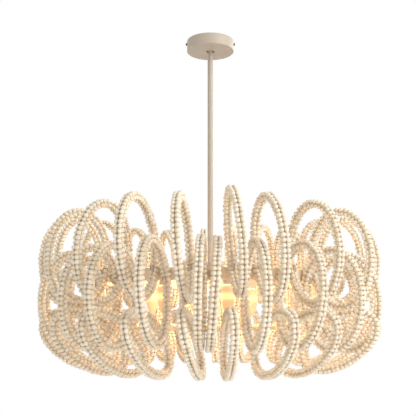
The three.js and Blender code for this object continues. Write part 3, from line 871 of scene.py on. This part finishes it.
def bead_one_hoop(hoop, number, *replaced):
    """A beaded hoop as one mesh: four rows of beads, the cord in them and the dark dots of painted
    shade.
    """
    rows = []
    outer_start = row_start.integers(LINE_STEPS)
    for degrees in ROW_ANGLES:
        angle = math.radians(degrees)
        row = oval_line(
            hoop, ROW_RADIUS * math.cos(angle), ROW_RADIUS * math.sin(angle), LINE_STEPS)
        start = outer_start if abs(degrees) < 90 else row_start.integers(LINE_STEPS)
        rows.append(np.roll(row, -start, axis=0))
    beads = string_along(
        hoop["name"] + "_rows", rows, one_bead, BEAD_SPACING, BEAD * MM, BEAD_SIZE_SPREAD,
        BEAD_PLACE_SPREAD, number, bead_finish)
    # Dots of painted shade are strung half a bead along the groove, in the holes where four beads
    # meet.
    groove = oval_line(hoop, SHADE_DOT_OUTSET, 0, LINE_STEPS)
    half_a_bead = round(LINE_STEPS * BEAD_SPACING * MM / length_round(rows[0]) / 2)
    groove = np.roll(groove, -outer_start - half_a_bead, axis=0)
    shade_dot_spacing = BEAD_SPACING * length_round(groove) / length_round(rows[0])
    shade_dots = string_along(
        hoop["name"] + "_stitches", [groove], one_stitch, shade_dot_spacing, 1,
        SHADE_DOT_SIZE_SPREAD, SHADE_DOT_PLACE_SPREAD, number, thread_and_painted_shade)

    beads.materials.append(core_cord)
    beads.materials.append(thread_and_painted_shade)
    builder = bmesh.new()
    builder.from_mesh(beads)
    bead_faces = len(builder.faces)
    builder.from_mesh(shade_dots)
    builder.faces.ensure_lookup_table()
    # The dots of painted shade take the dark thread's finish.
    for face in builder.faces[bead_faces:]:
        face.material_index = THREAD_AND_SHADE_SLOT
    for outset, radius, sides, finish_number in (
        (0, CORE_RADIUS, CORE_SIDES, CORD_SLOT),
        (THREAD_OUTSET, THREAD_RADIUS, THREAD_SIDES, THREAD_AND_SHADE_SLOT),
    ):
        points, quads = closed_tube(
            oval_line(hoop, outset, 0, CORE_STEPS), radius * MM, sides)
        new_points = [builder.verts.new(p) for p in points]
        for quad in quads:
            face = builder.faces.new([new_points[i] for i in quad])
            face.material_index = finish_number
            face.smooth = True
    bmesh.ops.recalc_face_normals(builder, faces=builder.faces)
    builder.to_mesh(beads)
    builder.free()
    bpy.data.meshes.remove(shade_dots)
    beads.name = hoop["name"] + "_beaded"
    piece = bpy.data.objects.new(hoop["name"] + "_beaded", beads)
    bpy.context.collection.objects.link(piece)
    settle(piece, LIGHT, "beads", *replaced)
    return len(beads.polygons)


# %% All the hoops
face_total = 0
for number, hoop in enumerate(hoops):
    node = hoop["name"] if hoop["name"] in nodes else "lower_ring_with_hoops"
    face_total += bead_one_hoop(hoop, number, node)
bpy.data.objects.remove(one_bead)
bpy.data.objects.remove(one_stitch)
print("faces in all the beaded hoops", face_total)

# %% [markdown]
# ## Wire ties
# Each upper and middle hoop is held to the band by two loops of soft iron wire, twisted round
# the hoop and through the ring's edge. A tie is one rounded loop of thin tube, in the upright
# plane that the hoop stands in, and its two copies lie a little apart along the band.

# %% Ties on every tied hoop
TIE_WIRE, TIE_SIDES = 0.9, 6
TIE_APART = 7.5
TIE_CORNER, TIE_CORNER_STEPS = 5, 5
TIE_INSIDE, TIE_OUTSIDE = 1.5, 2.2
TIE_DOWN_THE_BAND, TIE_PAST_THE_EDGE = 9, 5
inner = BAND_RADIUS - BAND_THICKNESS - TIE_INSIDE
outer = BAND_RADIUS + TIE_GAP + 2 * HOOP_TUBE + TIE_OUTSIDE
tie_parts = []
for hoop in tied_hoops:
    above = hoop["centre"][2] > BAND_TOP
    edge = BAND_TOP if above else BAND_BOTTOM
    if above:
        low, high = edge - TIE_DOWN_THE_BAND, edge + TIE_PAST_THE_EDGE
    else:
        low, high = edge - TIE_PAST_THE_EDGE, edge + TIE_DOWN_THE_BAND
    around = np.cross(hoop["out"], (0, 0, 1))
    rise = (edge - hoop["centre"][2]) / hoop["up"][2]
    slip = np.dot(hoop["up"] * rise, around)
    loop = rounded([
        ((inner + outer) / 2, low), (outer, low), (outer, high), (inner, high), (inner, low),
        ((inner + outer) / 2, low),
    ], TIE_CORNER, TIE_CORNER_STEPS)[:-1]
    for side in (-0.5, 0.5):
        line = np.array([
            (hoop["out"] * radius + around * (slip + side * TIE_APART) + (0, 0, height)) * MM
            for radius, height in loop
        ])
        tie_parts.append(closed_tube(line, TIE_WIRE * MM, TIE_SIDES))
vertices, faces = joined(tie_parts)
piece_from_mesh("wire_ties", vertices, faces, tie_wire, LIGHT, "painted_frame", "band_ring")
print("ties", len(tie_parts))

# %% [markdown]
# ## The lower ring
# The lower hoops hang under a thin round ring, and six short posts join it to the arms. The
# ring is a small circle swept round the stem's axis, and each post is a plain round rod.

# %% Ring and posts
RING_HEIGHT = -768.15
RING_SIDES = 16
ring_profile = []
for k in range(RING_SIDES):
    angle = 2 * math.pi * k / RING_SIDES
    ring_profile.append((
        LOWER_RING_RADIUS + LOWER_RING_ROD * math.cos(angle),
        RING_HEIGHT + LOWER_RING_ROD * math.sin(angle),
    ))
parts = [swept_round(ring_profile, segments=144, loop=True)]
POST_RADIUS = 3
post_top = ARM_BOTTOM - GAP
post_profile = [
    (0, RING_HEIGHT), (POST_RADIUS, RING_HEIGHT), (POST_RADIUS, post_top), (0, post_top),
]
for i in range(ARMS):
    way = outward(FIRST_ARM_TURN + 360 * i / ARMS)
    parts.append(swept_round(post_profile, segments=24, centre=way[:2] * LOWER_RING_RADIUS))
vertices, faces = joined(parts)
piece_from_mesh(
    "lower_ring", vertices, faces, band_paint, LIGHT, "painted_frame", "lower_ring_with_hoops",
)
print("lower ring at", RING_HEIGHT, "mm")

# %% [markdown]
# ## Inside the canopy
# The bracket, the ball's seat and its liner keep their CAD meshes, which already have their
# true form. They only need a finish.

# %% Hidden pieces
for name, finish in (
    ("ceiling_bracket", zinc_steel), ("swivel_seat", zinc_steel), ("swivel_liner", nylon),
):
    nodes[name].data.materials.clear()
    nodes[name].data.materials.append(finish)
    print(name, "in", finish.name)

# %% [markdown]
# ## Studio
# The photograph has a white backdrop and soft light that comes a little more from the right.
# The sky is white to the camera, and to the rays that metal and glass send on. As a light it
# is dimmer, so that the beads keep their shading. The floor is pale and takes the shadow.

# %% Backdrop and floor
SKY_SEEN, SKY_AS_LIGHT = 1.0, 0.70
SKY_LIGHT_COLOUR = (1.0, 0.98, 0.95)
FLOOR, FLOOR_REACH = -2.3, 6
world = bpy.data.worlds.new("white_studio")
bpy.context.scene.world = world
world.use_nodes = True
tree = world.node_tree
tree.nodes.clear()
seen = tree.nodes.new("ShaderNodeBackground")
seen.inputs["Color"].default_value = (1, 1, 1, 1)
seen.inputs["Strength"].default_value = SKY_SEEN
lighting = tree.nodes.new("ShaderNodeBackground")
lighting.inputs["Color"].default_value = (*SKY_LIGHT_COLOUR, 1)
lighting.inputs["Strength"].default_value = SKY_AS_LIGHT
path = tree.nodes.new("ShaderNodeLightPath")
either = tree.nodes.new("ShaderNodeMixShader")
world_out = tree.nodes.new("ShaderNodeOutputWorld")
straight = path.outputs["Is Camera Ray"]
for ray in ("Is Glossy Ray", "Is Transmission Ray"):
    wider = tree.nodes.new("ShaderNodeMath")
    wider.operation = "MAXIMUM"
    tree.links.new(straight, wider.inputs[0])
    tree.links.new(path.outputs[ray], wider.inputs[1])
    straight = wider.outputs["Value"]
tree.links.new(straight, either.inputs["Fac"])
tree.links.new(lighting.outputs["Background"], either.inputs[1])
tree.links.new(seen.outputs["Background"], either.inputs[2])
tree.links.new(either.outputs["Shader"], world_out.inputs["Surface"])

floor_mesh = bpy.data.meshes.new("studio_floor")
floor_mesh.from_pydata(
    [(x * FLOOR_REACH, y * FLOOR_REACH, FLOOR) for x, y in ((-1, -1), (1, -1), (1, 1), (-1, 1))],
    [], [(0, 1, 2, 3)])
floor_white, tree, shader = new_finish("floor_white", (0.9, 0.9, 0.9), roughness=0.9)
floor_mesh.materials.append(floor_white)
floor = bpy.data.objects.new("studio_floor", floor_mesh)
bpy.context.collection.objects.link(floor)
floor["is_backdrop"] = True
print("floor at", FLOOR, "m")


# %% Lights
def soft_light(name, place, aim, size, power, colour=(1, 1, 1)):
    """A square area light at place, turned to face aim."""
    data = bpy.data.lights.new(name, "AREA")
    data.size = size
    data.energy = power
    data.color = colour
    lamp = bpy.data.objects.new(name, data)
    lamp.location = place
    lamp.rotation_euler = (Vector(aim) - Vector(place)).to_track_quat("-Z", "Y").to_euler()
    bpy.context.collection.objects.link(lamp)


MIDDLE = (0, 0, -0.65)
soft_light("key_right", (2.2, -1.6, 0.6), MIDDLE, size=1.8, power=58, colour=(0.97, 0.985, 1.0))
soft_light("fill_left", (-2.6, -1.8, -0.9), MIDDLE, size=2.2, power=4)
soft_light("back_right", (2.0, 1.7, 0.1), MIDDLE, size=1.6, power=30)
soft_light("from_below", (0.3, -1.4, -2.1), MIDDLE, size=1.8, power=9, colour=(1.0, 0.96, 0.90))
print("lights", len(bpy.data.lights))

# %% Sizes of the dressed light
low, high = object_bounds()
print("visual box", list(low), list(high))
